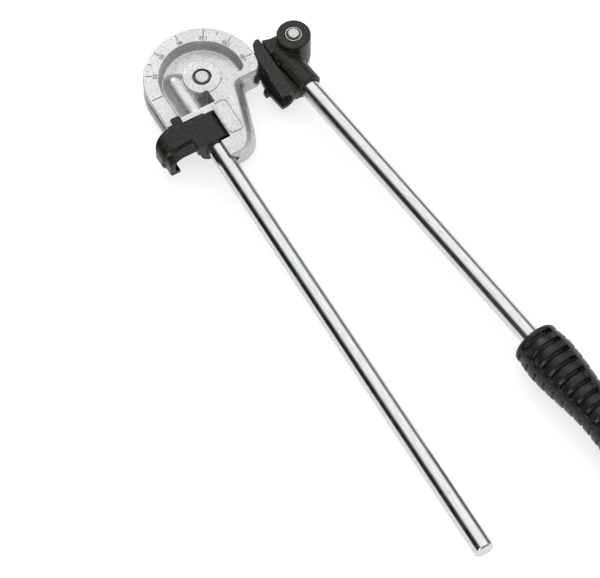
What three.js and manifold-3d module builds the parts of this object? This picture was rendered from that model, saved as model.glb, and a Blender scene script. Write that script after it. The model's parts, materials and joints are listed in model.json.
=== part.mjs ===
// Two-hand tube bender for 12 mm tube.
// The round former with its degree dial is fixed to one lever. A steel link turns on the bend
// axis and carries the head, which holds the slide shoe and the other lever.
// Millimetres, +Z up out of the dial, the fixed lever runs towards -Y.
// The origin is on the bend axis, at the flat head of the pivot pin, where the tool rests.
// The model stands at the end of a full bend, with the shoe at the 180 degree mark.

import * as THREE from 'three';
import { mergeVertices } from 'three/addons/utils/BufferGeometryUtils.js';
import Module from 'manifold-3d';

const wasm = await Module();
wasm.setup();

// Tube and bend
const tubeDiameter = 12;
const bendRadius = 42;
const rimBackset = 1.2;
const grooveClearance = 0.2;

// Gaps
const seatGap = 0.3;
const slideGap = 0.6;
const snapGap = 0.1;
const overrun = 2;
const mergeTolerance = 0.0001;

// Stack on the bend axis
const pinHeadHeight = 2.4;
const pinHeadRadius = 8;
const linkThickness = 6;
const linkEndRadius = 11.5;
const linkWaist = 7.6;
const linkNeck = 20;
const linkEdge = 0.8;
const pivotWasherThickness = 2.1;
const pivotWasherRadius = 10;
const pivotPinRadius = 4.8;
const pivotBushWall = 1.2;
const retainerRecess = 2.4;
const retainerThickness = 0.9;
const retainerGrooveDepth = 0.6;
const retainerRim = 0.9;
const pinDome = 0.4;
const pinChamfer = 0.5;

// Former
const formerHeight = 17.6;
const formerEdge = 0.5;
const heelDrop = 6.4;
const heelDepth = 13.2;
const heelCorner = 6.6;
const skirt = 3;
const legLength = 24.2;
const bridgeLength = 25.8;
const bridgeCornerX = 29.6;
const hubRadius = 13.2;
const hubDraft = 0.8;
const hubRise = 0.7;

// Pocket in the dial
const pocketRadius = 30;
const pocketDraft = 1.6;
const pocketFillet = 1.2;
const pocketDepth = 8.4;
const pocketSill = 8.4;
const pocketFoot = 21.6;
const pocketCorner = 3;
const drainLeft = 8;
const drainRight = 2;
const drainTop = 11.4;
const drainDepth = 15.4;
const drainCorner = 1.5;

// Arm of the former
const armRootX = 15.4;
const armRootY = 18;
const armRootFillet = 6.6;
const armTipX = 4.2;
const armTipY = 55;
const armEnd = 64.8;
const armEndX = 6;
const armSeatX = 14;
const armFlare = 7.4;
const armTipFlare = 8.7;

// Flare of the former's side: shares of its height and of its full flare, from the foot up
const flareShares = [[0.32, 0.96], [0.6, 0.78], [0.82, 0.5]];
const flareTopShare = 0.1;

// Levers
const leverDiameter = 14;
const leverChamfer = 1;
const fixedLeverX = 16.8;
const fixedLeverInner = 6.4;
const fixedLeverEnd = 401;
const barrelWall = 1.2;
const barrelTopHalf = 5.4;
const barrelLedgeHalf = 6.3;
const barrelLedgeDrop = 1.3;
const barrelFootHalf = 8;
const barrelFillet = 3;
const barrelSteps = 4;

// Spring pin driven into the end of the foot, half in the casting and half in the fixed lever
const lockPinRadius = 1.6;
const lockPinBore = 0.8;
const lockPinOffset = 0.7;
const lockPinLength = 12;
const lockPinProud = 0.3;

// Hook bracket on the fixed lever
const collarWall = 5.2;
const collarFrom = 27.4;
const collarTo = 49.8;
const collarSideGap = 1.4;
const collarLeanShare = 0.7;
const hookBack = 24.8;
const hookStep = 41.4;
const hookStepDrop = 1.8;
const hookStepX = 30.6;
const hookWall = 5.7;
const hookCrown = 9.9;
const hookShoulder = 9;
const hookThroat = 0.6;
const hookTipDrop = 9.2;
const hookCornerFrom = 37;
const hookCornerTo = 34;
const hookCornerLean = 1.7;
const hookTipRound = 2.4;
const lipFrom = 42.4;
const lipReach = 3;
const lipThickness = 3.2;
const lugFrom = 19.8;
const lugInnerX = 29.2;
const lugOuterX = 36.4;
const lugCorner = 1.2;

// Head pin, carried by the link
const headPinOffset = 27.9;
const headPinAngle = -4.35;
const headPinRadius = 4;
const headPinHeadRadius = 7;
const headPinProud = 1.6;
const headBushWall = 1.5;
const headBushProud = 0.2;
const headRingWidth = 0.8;
const headRingRecess = 1.8;
const headRingThickness = 0.8;
const headWasherThickness = 1.5;
const headWasherRadius = 10;

// Head casting
const bossRadius = 12;
const bossRise = 8;
const bossEdge = 1;
const bossRoundShare = 0.3;
const barrelRadius = 10.1;
const barrelEdge = 0.8;
const leverSplay = 6.65;
const leverInset = 11.1;
const barrelInner = 2;
const barrelMouth = 32.8;
const barrelFlat = 7.4;
const movingLeverInner = 9.6;
const seatWallThickness = 6;
const seatWallFrom = 40.2;
const seatWallTo = 7;
const seatWallDrop = 6;
const seatWallFoot = 3;
const neckDrop = 2.2;
const neckFront = 5.4;
const neckRear = 17;

// Pin of the moving lever, pressed in from below
const leverPinRadius = 2;
const leverPinBack = 24;
const leverPinTop = 4.4;

// Slide shoe
const shoeWall = 2.8;
const shoeUpperLip = 1.6;
const shoeLowerLip = 3.8;
const shoeFrom = 40.6;
const shoeTo = 8.4;
const shoeBottomDrop = 0.8;
const shoeRabbet = 1.6;
const shoeRabbetDepth = 5.4;
const shoeLipTaper = 2.2;
const shoeNose = 2.8;
const shoeEarCut = 2;
const tabReach = 3;
const tabFrom = 27.2;
const tabTo = 21.6;
const tabChamfer = 1.6;
const tabHeight = 3.4;
const rivetRadius = 1.5;
const rivetHeadRadius = 2.8;
const rivetHeadHeight = 1.2;
const rivetSink = 0.3;
const rivetLength = 4.6;
const lowerRivetY = -32;
const upperRivetY = -2;

// Grip
const gripStart = 276.8;
const gripLength = 120;
const gripMouthRadius = 13.3;
const gripShoulder = 6.4;
const gripShoulderInset = 1.1;
const gripBulge = 22.4;
const gripEndRadius = 11;
const gripEndRound = 4;
const gripEndShares = [0, 0.5, 0.85, 1];
const gripBulgeRadius = 17.9;
const gripWaistAt = 74;
const gripWaistRadius = 14.1;
const gripPalmAt = 104;
const gripPalmRadius = 15.6;
const ringPitch = 8.8;
const ringWidth = 3;
const ringDepth = 1.5;
const ringFirst = 8.6;
const ringCount = 12;
const spineHalfWidth = 1.8;
const spineAngle = 75;
const gripFloor = 6;

// Finish, as divisions of round forms
const rimDivisions = 22;
const roundSides = 32;
const pinSides = 24;
const leverSides = 24;
const smallSides = 20;
const gripSides = 24;

// Worked out from the sizes above
const tubeRadius = tubeDiameter / 2;
const grooveRadius = tubeRadius + grooveClearance;
const rimRadius = bendRadius - rimBackset;
const leverRadius = leverDiameter / 2;
const socketRadius = leverRadius + seatGap;
const linkBottom = pinHeadHeight + seatGap;
const linkTop = linkBottom + linkThickness;
const washerBottom = linkTop + seatGap;
const formerBottom = washerBottom + pivotWasherThickness + seatGap;
const dialZ = formerBottom + formerHeight;
const hubTop = dialZ + hubRise;
const leverZ = formerBottom + formerHeight / 2;
const pocketFloorZ = dialZ - pocketDepth;
const collarRadius = leverRadius + collarWall;
const headPinOrbit = bendRadius + headPinOffset;
const headPinTurn = THREE.MathUtils.degToRad(headPinAngle);
const headPinX = headPinOrbit * Math.cos(headPinTurn);
const headPinY = headPinOrbit * Math.sin(headPinTurn);
const headWasherTop = washerBottom + headWasherThickness;
const headBottom = headWasherTop + seatGap;
const bossTop = dialZ + bossRise;
const shoeBackX = bendRadius + grooveRadius + shoeWall;

// Finishes
const castAluminium = new THREE.MeshStandardMaterial({ color: 0xd4d4d2, metalness: 0.7, roughness: 0.55 });
const zincSteel = new THREE.MeshStandardMaterial({ color: 0xc3c8ca, metalness: 0.9, roughness: 0.25 });
const brightSteel = new THREE.MeshStandardMaterial({ color: 0xdadada, metalness: 0.9, roughness: 0.2 });
const blackCasting = new THREE.MeshStandardMaterial({ color: 0x2c2e2b, metalness: 0.3, roughness: 0.5 });
const blackPlastic = new THREE.MeshStandardMaterial({ color: 0x30322e, metalness: 0, roughness: 0.55 });
const darkSteel = new THREE.MeshStandardMaterial({ color: 0x3a3a3a, metalness: 0.8, roughness: 0.4 });
const bronze = new THREE.MeshStandardMaterial({ color: 0x9a7b4a, metalness: 0.8, roughness: 0.35 });
const gripRubber = new THREE.MeshStandardMaterial({ color: 0x1d1e1d, metalness: 0, roughness: 0.65 });

// A closed geometry as a solid that can be joined and cut.
function solid(geometry) {
  const bare = geometry.clone();
  bare.deleteAttribute('normal');
  bare.deleteAttribute('uv');
  const merged = mergeVertices(bare, mergeTolerance);
  const corners = Array.from(merged.index.array);
  const kept = [];
  for (let i = 0; i < corners.length; i += 3) {
    const [a, b, c] = corners.slice(i, i + 3);
    if (a !== b && b !== c && c !== a) kept.push(a, b, c);
  }
  return new wasm.Manifold(new wasm.Mesh({
    numProp: 3,
    vertProperties: new Float32Array(merged.attributes.position.array),
    triVerts: new Uint32Array(kept),
  }));
}

// A named piece from a solid.
function piece(name, body, material) {
  const result = body.getMesh();
  const geometry = new THREE.BufferGeometry();
  geometry.setAttribute('position', new THREE.BufferAttribute(new Float32Array(result.vertProperties), 3));
  geometry.setIndex(new THREE.BufferAttribute(new Uint32Array(result.triVerts), 1));
  geometry.computeVertexNormals();
  const mesh = new THREE.Mesh(geometry, material);
  mesh.name = name;
  return mesh;
}

function join(...bodies) {
  return bodies.reduce((whole, body) => whole.add(body));
}

function cut(body, ...tools) {
  return tools.reduce((rest, tool) => rest.subtract(tool), body);
}

// A solid of revolution about +Z from [radius, height] pairs.
function turned(profile, sides) {
  const points = profile.map(([radius, height]) => new THREE.Vector2(radius, height));
  return new THREE.LatheGeometry(points, sides).rotateX(Math.PI / 2);
}

function rod(radius, low, high, sides) {
  return turned([[0, low], [radius, low], [radius, high], [0, high]], sides);
}

function chamferedRod(radius, low, high, chamfer, sides) {
  const profile = [
    [0, low],
    [radius - chamfer, low],
    [radius, low + chamfer],
    [radius, high - chamfer],
    [radius - chamfer, high],
    [0, high],
  ];
  return turned(profile, sides);
}

function ring(inner, outer, low, high, sides) {
  return turned([[inner, low], [outer, low], [outer, high], [inner, high], [inner, low]], sides);
}

// Turns a shape made about +Z so that +Z becomes -Y.
function alongLever(geometry) {
  return geometry.rotateX(Math.PI / 2);
}

// An outline in X and Y, raised from one height to another.
function raised(shape, low, high, divisions = smallSides) {
  const options = { depth: high - low, bevelEnabled: false, curveSegments: divisions };
  return new THREE.ExtrudeGeometry(shape, options).translate(0, 0, low);
}

// An outline in X and Z, drawn out along Y from low to high.
function drawnAlongY(shape, low, high, divisions = smallSides) {
  const options = { depth: high - low, bevelEnabled: false, curveSegments: divisions };
  return new THREE.ExtrudeGeometry(shape, options).rotateX(Math.PI / 2).translate(0, high, 0);
}

function polygon(points) {
  return new THREE.Shape(points.map(([x, y]) => new THREE.Vector2(x, y)));
}

function box(x0, x1, y0, y1, z0, z1) {
  const middle = [(x0 + x1) / 2, (y0 + y1) / 2, (z0 + z1) / 2];
  return new THREE.BoxGeometry(x1 - x0, y1 - y0, z1 - z0).translate(...middle);
}

// A closed skin through outlines of equal point count, each a shape at a height, lowest first.
function loft(levels, divisions) {
  const rings = levels.map(({ shape, z }) => {
    const outline = shape.extractPoints(divisions).shape;
    const loop = THREE.ShapeUtils.isClockWise(outline) ? outline.slice().reverse() : outline;
    return loop.map((point) => new THREE.Vector3(point.x, point.y, z));
  });
  const count = rings[0].length;
  const index = [];
  for (let level = 0; level < rings.length - 1; level += 1) {
    for (let i = 0; i < count; i += 1) {
      const a = level * count + i;
      const b = level * count + ((i + 1) % count);
      index.push(a, b, b + count, a, b + count, a + count);
    }
  }
  const capOf = (loop) => THREE.ShapeUtils.triangulateShape(loop.map((p) => new THREE.Vector2(p.x, p.y)), []);
  const topOffset = (rings.length - 1) * count;
  capOf(rings[0]).forEach(([a, b, c]) => index.push(a, c, b));
  capOf(rings[rings.length - 1]).forEach(([a, b, c]) => {
    index.push(a + topOffset, b + topOffset, c + topOffset);
  });
  const geometry = new THREE.BufferGeometry();
  geometry.setFromPoints(rings.flat());
  geometry.setIndex(index);
  return geometry;
}

// The former's outline. share is 0 at the dial face and 1 at the foot of the skirt.
function formerOutline(share, inset) {
  const drop = skirt * share;
  const flare = armFlare * share;
  const tipFlare = armTipFlare * share;
  const rim = rimRadius - inset;
  const heel = heelDepth + drop - inset;
  const end = armEnd - inset;
  const shape = new THREE.Shape();
  shape.moveTo(-rim, -legLength + inset);
  shape.lineTo(-rim, 0);
  shape.absarc(0, 0, rim, Math.PI, -Math.asin(heelDrop / rim), true);
  shape.quadraticCurveTo(Math.sqrt(rim * rim - heel * heel), -heel, rim - heelCorner, -heel);
  shape.lineTo(armRootX + flare + armRootFillet - inset, -heel);
  shape.quadraticCurveTo(armRootX + flare - inset, -heel, armRootX + flare - inset, -armRootY - drop);
  shape.lineTo(armTipX + tipFlare - inset, -armTipY + drop);
  shape.quadraticCurveTo((armTipX - armEndX) / 2 + tipFlare - inset, -end, -armEndX, -end);
  shape.lineTo(-armSeatX, -end);
  shape.lineTo(-armSeatX, -bridgeLength);
  shape.lineTo(-bridgeCornerX, -bridgeLength);
  shape.lineTo(-bridgeCornerX, -legLength + inset);
  return shape;
}

// The pocket's outline, drawn in by the draft of its wall.
function pocketOutline(draft) {
  const radius = pocketRadius - draft;
  const sill = pocketSill - draft;
  const sillX = Math.sqrt(radius * radius - sill * sill);
  const shape = new THREE.Shape();
  shape.moveTo(-radius, -pocketFoot + draft);
  shape.lineTo(-radius, 0);
  shape.absarc(0, 0, radius, Math.PI, 0, true);
  shape.quadraticCurveTo(sillX + pocketCorner / 2, -sill, sillX - pocketCorner, -sill);
  shape.lineTo(-drainRight, -sill);
  shape.lineTo(-drainRight, -pocketFoot + draft);
  return shape;
}

// A round-ended bar along Y, its round end about a middle at high Y.
function capsuleOutline(half, middleY, footY) {
  const shape = new THREE.Shape();
  shape.moveTo(-fixedLeverX - half, footY);
  shape.lineTo(-fixedLeverX + half, footY);
  shape.lineTo(-fixedLeverX + half, middleY);
  shape.absarc(-fixedLeverX, middleY, half, 0, Math.PI, false);
  return shape;
}

// The barrel over the lever's inner end: a round back on a ledge, and flanks that lean out to a
// wide fillet on the pocket's floor.
function innerBarrel() {
  const radius = socketRadius + barrelWall;
  const start = Math.acos(barrelTopHalf / radius);
  const filletMiddle = barrelFillet * (1 - Math.SQRT1_2);
  const sides = [
    [barrelFootHalf + barrelFillet, pocketFloorZ - overrun],
    [barrelFootHalf + barrelFillet, pocketFloorZ],
    [barrelFootHalf + filletMiddle, pocketFloorZ + filletMiddle],
    [barrelFootHalf, pocketFloorZ + barrelFillet],
    [barrelLedgeHalf, leverZ + radius * Math.sin(start) - barrelLedgeDrop],
  ];
  for (let step = 0; step < barrelSteps; step += 1) {
    const angle = THREE.MathUtils.lerp(start, Math.PI / 2, step / barrelSteps);
    sides.push([radius * Math.cos(angle), leverZ + radius * Math.sin(angle)]);
  }
  const middle = fixedLeverInner + seatGap;
  const foot = -pocketFoot - overrun / 2;
  return loft(sides.map(([half, z]) => ({ shape: capsuleOutline(half, middle, foot), z })), smallSides / 2);
}

function roundedRectangle(x0, x1, y0, y1, corner) {
  const shape = new THREE.Shape();
  shape.moveTo(x0 + corner, y0);
  shape.lineTo(x1 - corner, y0);
  shape.quadraticCurveTo(x1, y0, x1, y0 + corner);
  shape.lineTo(x1, y1 - corner);
  shape.quadraticCurveTo(x1, y1, x1 - corner, y1);
  shape.lineTo(x0 + corner, y1);
  shape.quadraticCurveTo(x0, y1, x0, y1 - corner);
  shape.lineTo(x0, y0 + corner);
  shape.quadraticCurveTo(x0, y0, x0 + corner, y0);
  return shape;
}

// Half-round groove round the rim and on along the straight leg.
function bendGroove() {
  const groove = new THREE.Shape();
  groove.absarc(bendRadius, leverZ, grooveRadius, 0, 2 * Math.PI, false);
  const points = groove.getPoints(smallSides / 2).map((point) => [point.x, point.y]);
  const hoop = solid(turned(points, 2 * roundSides));
  const heelReach = heelDepth + skirt + overrun;
  const wide = bendRadius + grooveRadius + overrun;
  const keep = solid(box(-wide, wide, 0, wide, 0, dialZ + overrun));
  const heel = solid(box(bendRadius / 2, wide, -heelReach, overrun, 0, dialZ + overrun));
  const straight = alongLever(rod(grooveRadius, -overrun / 2, legLength + overrun, smallSides));
  return join(hoop.intersect(join(keep, heel)), solid(straight.translate(-bendRadius, 0, leverZ)));
}

function formerCasting() {
  const shoulder = [
    { share: 1, inset: formerEdge, z: formerBottom },
    { share: 1, inset: 0, z: formerBottom + formerEdge },
    ...flareShares.map(([height, share]) => ({ share, inset: 0, z: formerBottom + formerHeight * height })),
    { share: flareTopShare, inset: 0, z: dialZ - formerEdge },
    { share: 0, inset: formerEdge, z: dialZ },
  ];
  const levels = shoulder.map(({ share, inset, z }) => ({ shape: formerOutline(share, inset), z }));
  const body = solid(loft(levels, rimDivisions));

  const pocket = solid(loft([
    { shape: pocketOutline(pocketDraft + pocketFillet), z: pocketFloorZ },
    { shape: pocketOutline(pocketDraft), z: pocketFloorZ + pocketFillet },
    { shape: pocketOutline(0), z: dialZ },
    { shape: pocketOutline(0), z: dialZ + overrun },
  ], rimDivisions));
  const hub = solid(turned([
    [0, pocketFloorZ - overrun],
    [hubRadius + hubDraft, pocketFloorZ - overrun],
    [hubRadius, hubTop],
    [0, hubTop],
  ], roundSides));
  const hollow = cut(pocket, hub, solid(innerBarrel()));
  const drain = roundedRectangle(-drainLeft, -drainRight, -pocketFoot, -drainTop, drainCorner);

  const pivotBore = rod(pivotPinRadius + pivotBushWall + 2 * seatGap, 0, hubTop + overrun, roundSides);
  const lever = alongLever(rod(socketRadius, -fixedLeverInner - seatGap, armEnd + overrun, leverSides));
  const recessRadius = collarRadius + collarSideGap;
  const recess = alongLever(rod(
    recessRadius, collarFrom - seatGap, collarTo + collarSideGap, roundSides,
  ));
  return cut(
    join(body, hub),
    hollow,
    solid(raised(drain, dialZ - drainDepth, dialZ + overrun)),
    bendGroove(),
    solid(pivotBore),
    solid(lever.translate(-fixedLeverX, 0, leverZ)),
    solid(recess.translate(-fixedLeverX, 0, leverZ)),
    lockPinHole(),
  );
}

// Places a shape made about +Z so that +Z runs in from the foot's end face, beside the lever.
function alongLockPin(geometry) {
  const x = -fixedLeverX + leverRadius + lockPinOffset;
  return geometry.rotateX(-Math.PI / 2).translate(x, -armEnd, leverZ);
}

function lockPinHole() {
  const mouth = -lockPinProud - seatGap;
  return solid(alongLockPin(rod(lockPinRadius + seatGap, mouth, lockPinLength + seatGap, smallSides)));
}

function fixedLever() {
  const bar = chamferedRod(leverRadius, -fixedLeverInner, fixedLeverEnd, leverChamfer, leverSides);
  return cut(solid(alongLever(bar).translate(-fixedLeverX, 0, leverZ)), lockPinHole());
}

function leverLockPin() {
  const sleeve = ring(lockPinBore, lockPinRadius, -lockPinProud, lockPinLength, smallSides);
  return solid(alongLockPin(sleeve));
}

function pivotBush() {
  const inner = pivotPinRadius + seatGap;
  return solid(ring(inner, inner + pivotBushWall, formerBottom + seatGap, hubTop - retainerRecess, pinSides));
}

// The link lies below the former, from the bend axis to the head pin.
function linkPlate() {
  const outline = (inset) => {
    const end = linkEndRadius - inset;
    const waist = linkWaist - inset;
    const edge = Math.sqrt(end * end - waist * waist);
    const near = Math.PI / 2 - Math.acos(waist / end) / 2;
    const far = Math.PI - near;
    const shape = new THREE.Shape();
    shape.absarc(headPinOrbit, 0, end, -far, far, false);
    shape.quadraticCurveTo(headPinOrbit - edge, waist, headPinOrbit - linkNeck, waist);
    shape.lineTo(linkNeck, waist);
    shape.quadraticCurveTo(edge, waist, end * Math.cos(near), end * Math.sin(near));
    shape.absarc(0, 0, end, near, 2 * Math.PI - near, false);
    shape.quadraticCurveTo(edge, -waist, linkNeck, -waist);
    shape.lineTo(headPinOrbit - linkNeck, -waist);
    shape.quadraticCurveTo(
      headPinOrbit - edge, -waist, headPinOrbit + end * Math.cos(far), -end * Math.sin(far),
    );
    return shape;
  };
  const plate = loft([
    { shape: outline(linkEdge), z: linkBottom },
    { shape: outline(0), z: linkBottom + linkEdge },
    { shape: outline(0), z: linkTop - linkEdge },
    { shape: outline(linkEdge), z: linkTop },
  ], smallSides / 2);
  const pivotHole = rod(pivotPinRadius + seatGap, 0, linkTop + overrun, roundSides);
  const headHole = rod(headPinRadius + seatGap, 0, linkTop + overrun, roundSides);
  const holed = cut(solid(plate), solid(pivotHole), solid(headHole.translate(headPinOrbit, 0, 0)));
  return holed.rotate([0, 0, headPinAngle]);
}

function pivotPin() {
  const grooveTop = hubTop - (retainerRecess - retainerThickness) / 2;
  const grooveBottom = grooveTop - retainerThickness - seatGap;
  const waist = pivotPinRadius - retainerGrooveDepth;
  return solid(turned([
    [0, 0],
    [pinHeadRadius - pinChamfer, 0],
    [pinHeadRadius, pinChamfer],
    [pinHeadRadius, pinHeadHeight],
    [pivotPinRadius, pinHeadHeight],
    [pivotPinRadius, grooveBottom],
    [waist, grooveBottom],
    [waist, grooveTop],
    [pivotPinRadius, grooveTop],
    [pivotPinRadius, hubTop],
    [pivotPinRadius - pinDome, hubTop + pinDome],
    [0, hubTop + pinDome],
  ], pinSides));
}

function pivotRetainer() {
  const top = hubTop - (retainerRecess - retainerThickness) / 2 - seatGap / 2;
  const inner = pivotPinRadius - retainerGrooveDepth + seatGap;
  return solid(ring(inner, pivotPinRadius + retainerRim, top - retainerThickness, top, pinSides));
}

function headPin() {
  const top = bossTop + headPinProud;
  return solid(turned([
    [0, 0],
    [headPinHeadRadius - pinChamfer, 0],
    [headPinHeadRadius, pinChamfer],
    [headPinHeadRadius, pinHeadHeight],
    [headPinRadius, pinHeadHeight],
    [headPinRadius, top - pinChamfer],
    [headPinRadius - pinChamfer, top],
    [0, top],
  ], pinSides));
}

const headBushInner = headPinRadius + seatGap;
const headBushOuter = headBushInner + headBushWall;

function headBush() {
  const recess = headPinRadius + headRingWidth + seatGap;
  const shelf = bossTop - headRingRecess;
  const top = bossTop + headBushProud;
  return solid(turned([
    [headBushInner, headBottom + seatGap],
    [headBushOuter, headBottom + seatGap],
    [headBushOuter, top],
    [recess, top],
    [recess, shelf],
    [headBushInner, shelf],
    [headBushInner, headBottom + seatGap],
  ], pinSides));
}

function headRetainer() {
  const low = bossTop - headRingRecess + seatGap;
  const outer = headPinRadius + headRingWidth;
  return solid(ring(headPinRadius + snapGap, outer, low, low + headRingThickness, pinSides));
}

// The shoe's section, seen along the groove. Its back is round below and stepped above.
function shoeSection() {
  const bottom = formerBottom - shoeBottomDrop;
  const upper = bendRadius - shoeUpperLip;
  const lower = bendRadius - shoeLowerLip;
  const shape = new THREE.Shape();
  shape.moveTo(upper, dialZ);
  shape.lineTo(upper, leverZ);
  shape.lineTo(lower, leverZ);
  shape.lineTo(lower, bottom);
  shape.lineTo(bendRadius, bottom);
  shape.absellipse(bendRadius, leverZ, shoeBackX - bendRadius, leverZ - bottom, -Math.PI / 2, 0, false);
  shape.lineTo(shoeBackX, dialZ - shoeRabbetDepth);
  shape.lineTo(shoeBackX - shoeRabbet, dialZ - shoeRabbetDepth);
  shape.lineTo(shoeBackX - shoeRabbet, dialZ);
  return shape;
}

// Cylinder that the shoe must stay outside of, and the one that it must stay inside of, so that
// it slides round the rim and also swings out about the head pin without touching the rim.
function shoeRelief() {
  const clearRadius = rimRadius + slideGap;
  const rimSweep = rod(clearRadius, 0, dialZ + overrun, 2 * roundSides);
  const swing = rod(headPinOrbit - clearRadius, 0, dialZ + overrun, 2 * roundSides);
  const front = box(0, shoeBackX + overrun, headPinY, shoeTo + overrun, 0, dialZ + overrun);
  const beyond = cut(solid(front), solid(swing.translate(headPinX, headPinY, 0)));
  return join(solid(rimSweep), beyond);
}

function slideShoe() {
  const bottom = formerBottom - shoeBottomDrop;
  const body = solid(drawnAlongY(shoeSection(), -shoeFrom, shoeTo, smallSides / 2));
  const tabX = bendRadius - shoeLowerLip - tabReach;
  const tab = raised(polygon([
    [tabX, -tabTo - tabChamfer],
    [tabX, -tabFrom],
    [bendRadius, -tabFrom],
    [bendRadius, -tabTo + tabChamfer],
    [tabX + tabChamfer, -tabTo],
  ]), bottom, bottom + tabHeight);
  const groove = alongLever(rod(grooveRadius, -shoeTo - overrun, shoeFrom + 2 * overrun, leverSides));
  const lipCut = raised(polygon([
    [0, -tabFrom],
    [bendRadius - shoeLowerLip, -tabFrom],
    [bendRadius - shoeLowerLip + shoeLipTaper, -shoeFrom],
    [bendRadius - shoeLowerLip + shoeLipTaper, -shoeFrom - overrun],
    [0, -shoeFrom - overrun],
  ]), 0, leverZ);
  const earX = headPinX - Math.sqrt((headPinOrbit - rimRadius - slideGap) ** 2 - (shoeTo - headPinY) ** 2);
  const earCut = raised(polygon([
    [0, shoeTo - shoeEarCut],
    [earX - shoeEarCut / 2, shoeTo - shoeEarCut],
    [earX + shoeEarCut, shoeTo],
    [earX + shoeEarCut, shoeTo + overrun],
    [0, shoeTo + overrun],
  ]), 0, dialZ + overrun);
  const noseCut = raised(polygon([
    [shoeBackX + overrun, shoeTo - shoeNose / 2],
    [shoeBackX + overrun, shoeTo + overrun],
    [shoeBackX - shoeNose - overrun, shoeTo + overrun],
    [shoeBackX - shoeNose, shoeTo],
    [shoeBackX, shoeTo - shoeNose / 2],
  ]), 0, dialZ + overrun);
  const rivetHoles = [lowerRivetY, upperRivetY].map((y) => solid(rivetHole(y)));
  return cut(
    join(body, solid(tab)),
    solid(groove.translate(bendRadius, 0, leverZ)),
    shoeRelief(),
    solid(lipCut),
    solid(earCut),
    solid(noseCut),
    ...rivetHoles,
  );
}

// The rivets point outwards, with their flush heads in the bottom of the groove.
function rivetPlaced(geometry, y) {
  return geometry.rotateY(Math.PI / 2).translate(bendRadius + grooveRadius + rivetSink, y, leverZ);
}

function rivetHole(y) {
  const hole = rivetRadius + seatGap;
  const head = rivetHeadRadius + seatGap;
  return rivetPlaced(turned([
    [0, -overrun],
    [head, -overrun],
    [head, seatGap],
    [hole, rivetHeadHeight + seatGap],
    [hole, rivetLength + seatGap],
    [0, rivetLength + seatGap],
  ], smallSides), y);
}

function shoeRivet(y) {
  return solid(rivetPlaced(turned([
    [0, 0],
    [rivetHeadRadius, 0],
    [rivetRadius, rivetHeadHeight],
    [rivetRadius, rivetLength],
    [0, rivetLength],
  ], smallSides), y));
}

// Places a shape made in the moving lever's own frame, where the lever points along -Y and the
// head pin is at the origin.
function inLeverFrame(geometry) {
  return geometry.rotateZ(THREE.MathUtils.degToRad(leverSplay)).translate(headPinX, headPinY, 0);
}

function movingLeverRod(radius, from, to, chamfer) {
  const bar = alongLever(chamferedRod(radius, from, to, chamfer, leverSides));
  return inLeverFrame(bar.translate(-leverInset, 0, leverZ));
}

function leverPinRod(radius, low, high) {
  return inLeverFrame(rod(radius, low, high, smallSides).translate(-leverInset, -leverPinBack, 0));
}

function headCasting() {
  const wallX = shoeBackX + seatGap;
  const boss = turned([
    [0, headBottom],
    [bossRadius - bossEdge, headBottom],
    [bossRadius, headBottom + bossEdge],
    [bossRadius, bossTop - bossEdge],
    [bossRadius - bossEdge * bossRoundShare, bossTop - bossEdge * bossRoundShare],
    [bossRadius - bossEdge, bossTop],
    [0, bossTop],
  ], roundSides).translate(headPinX, headPinY, 0);
  const barrel = movingLeverRod(barrelRadius, -barrelInner, barrelMouth, barrelEdge);
  const wallTop = dialZ - seatWallDrop;
  const wall = box(wallX, wallX + seatWallThickness, -seatWallFrom, seatWallTo,
    formerBottom + seatWallFoot, wallTop);
  const flat = box(-barrelRadius - leverInset - overrun, -leverInset - barrelFlat, -barrelMouth - overrun,
    bossRadius, wallTop, bossTop);
  const neck = raised(polygon([
    [wallX, -neckRear],
    [headPinX, headPinY - bossRadius],
    [headPinX, neckFront],
    [wallX + seatWallThickness, neckFront],
    [wallX, seatWallTo],
  ]), formerBottom, dialZ - neckDrop);
  const trimmedBarrel = cut(solid(barrel), solid(inLeverFrame(flat)));
  const shoeSpace = box(0, wallX, -seatWallFrom - 2 * overrun, shoeTo + overrun, 0, bossTop + overrun);
  const bore = rod(headBushOuter + seatGap, 0, bossTop + overrun, roundSides);
  const washerSeat = rod(headWasherRadius + seatGap, 0, headBottom, roundSides);
  const socketEnd = movingLeverInner - seatGap;
  const socket = movingLeverRod(socketRadius, socketEnd, barrelMouth + overrun, leverChamfer);
  const rivetHoles = [lowerRivetY, upperRivetY].map((y) => solid(rivetHole(y)));
  return cut(
    join(solid(boss), trimmedBarrel, solid(wall), solid(neck)),
    solid(shoeSpace),
    solid(bore.translate(headPinX, headPinY, 0)),
    solid(washerSeat.translate(headPinX, headPinY, 0)),
    solid(socket),
    solid(leverPinRod(leverPinRadius + seatGap, 0, leverZ)),
    ...rivetHoles,
  );
}

function movingLever() {
  const end = gripStart + gripLength - gripFloor;
  const bar = movingLeverRod(leverRadius, movingLeverInner, end, leverChamfer);
  return cut(solid(bar), solid(leverPinRod(leverPinRadius + seatGap, 0, leverZ + leverPinTop + seatGap)));
}

function leverPin() {
  return solid(leverPinRod(leverPinRadius, leverZ - barrelRadius + seatGap, leverZ + leverPinTop));
}

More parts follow.
